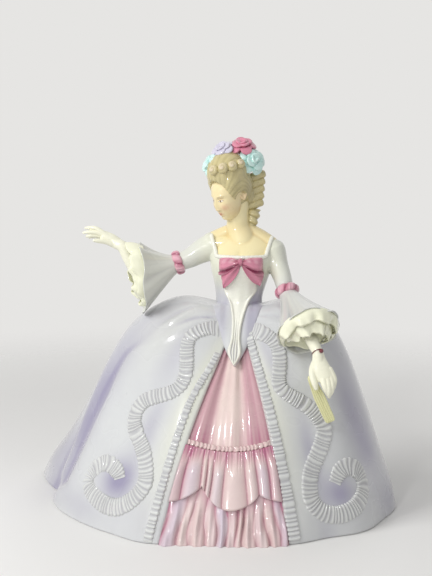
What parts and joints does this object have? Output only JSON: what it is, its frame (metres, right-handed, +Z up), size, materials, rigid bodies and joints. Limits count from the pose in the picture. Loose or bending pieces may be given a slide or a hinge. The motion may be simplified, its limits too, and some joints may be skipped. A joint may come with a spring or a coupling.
{
  "type": "porcelain lady figurine",
  "caption": "Standing porcelain lady in a wide court gown with ribbon scrolls, a flounced petticoat, frilled bell sleeves, a bow, a closed fan and flowers in her dressed hair.",
  "frame": {"origin": "on the flat underside, straight below the middle of the waist", "axes": "+Z up; she faces -Y, so her right hand is towards -X"},
  "size_m": [0.2428, 0.1707, 0.2295],
  "materials": {
    "lilac_glaze": "gloss",
    "pale_glaze": "gloss",
    "cream_glaze": "gloss",
    "rose_glaze": "gloss",
    "pink_glaze": "gloss",
    "skin_glaze": "gloss",
    "hair_glaze": "gloss",
    "aqua_glaze": "gloss",
    "mauve_glaze": "gloss",
    "ruby_glaze": "gloss",
    "biscuit": "matt, unglazed"
  },
  "bodies": {
    "root": {"overskirt": "lilac_glaze", "petticoat_panel": "rose_glaze", "petticoat_band": "rose_glaze", "upper_flounce": "rose_glaze", "lower_flounce": "rose_glaze", "base_plate": "biscuit", "scroll_ribbon_right": "pale_glaze", "scroll_ribbon_left": "pale_glaze", "coiffure": "hair_glaze", "head": "skin_glaze", "front_curl_1": "hair_glaze", "front_curl_2": "hair_glaze", "front_curl_3": "hair_glaze", "front_curl_4": "hair_glaze", "side_curl_1": "hair_glaze", "side_curl_2": "hair_glaze", "side_curl_3": "hair_glaze", "side_curl_4": "hair_glaze", "side_curl_5": "hair_glaze", "hanging_ringlet": "hair_glaze", "rose_flower": "pink_glaze", "aqua_flower_left": "aqua_glaze", "mauve_flower": "mauve_glaze", "aqua_flower_right": "aqua_glaze", "back_flower": "pink_glaze", "bodice": "lilac_glaze", "neck_and_chest": "skin_glaze", "front_trim_right": "pale_glaze", "front_trim_left": "pale_glaze", "stomacher": "pale_glaze", "neckline_edge": "pale_glaze", "bow_knot": "pink_glaze", "bow_loop_right": "pink_glaze", "bow_loop_left": "pink_glaze", "bow_tail_right": "pink_glaze", "bow_tail_left": "pink_glaze", "upper_sleeve_right": "lilac_glaze", "sleeve_band_right": "pink_glaze", "bell_sleeve_right": "lilac_glaze", "sleeve_frill_right_1": "cream_glaze", "sleeve_frill_right_2": "cream_glaze", "upper_sleeve_left": "lilac_glaze", "sleeve_band_left": "pink_glaze", "bell_sleeve_left": "lilac_glaze", "sleeve_frill_left_1": "cream_glaze", "sleeve_frill_left_2": "cream_glaze", "sleeve_frill_left_3": "cream_glaze", "forearm_and_hand_right": "skin_glaze", "forearm_and_hand_left": "skin_glaze", "bracelet": "ruby_glaze", "fan": "cream_glaze"}
  },
  "joints": []
}
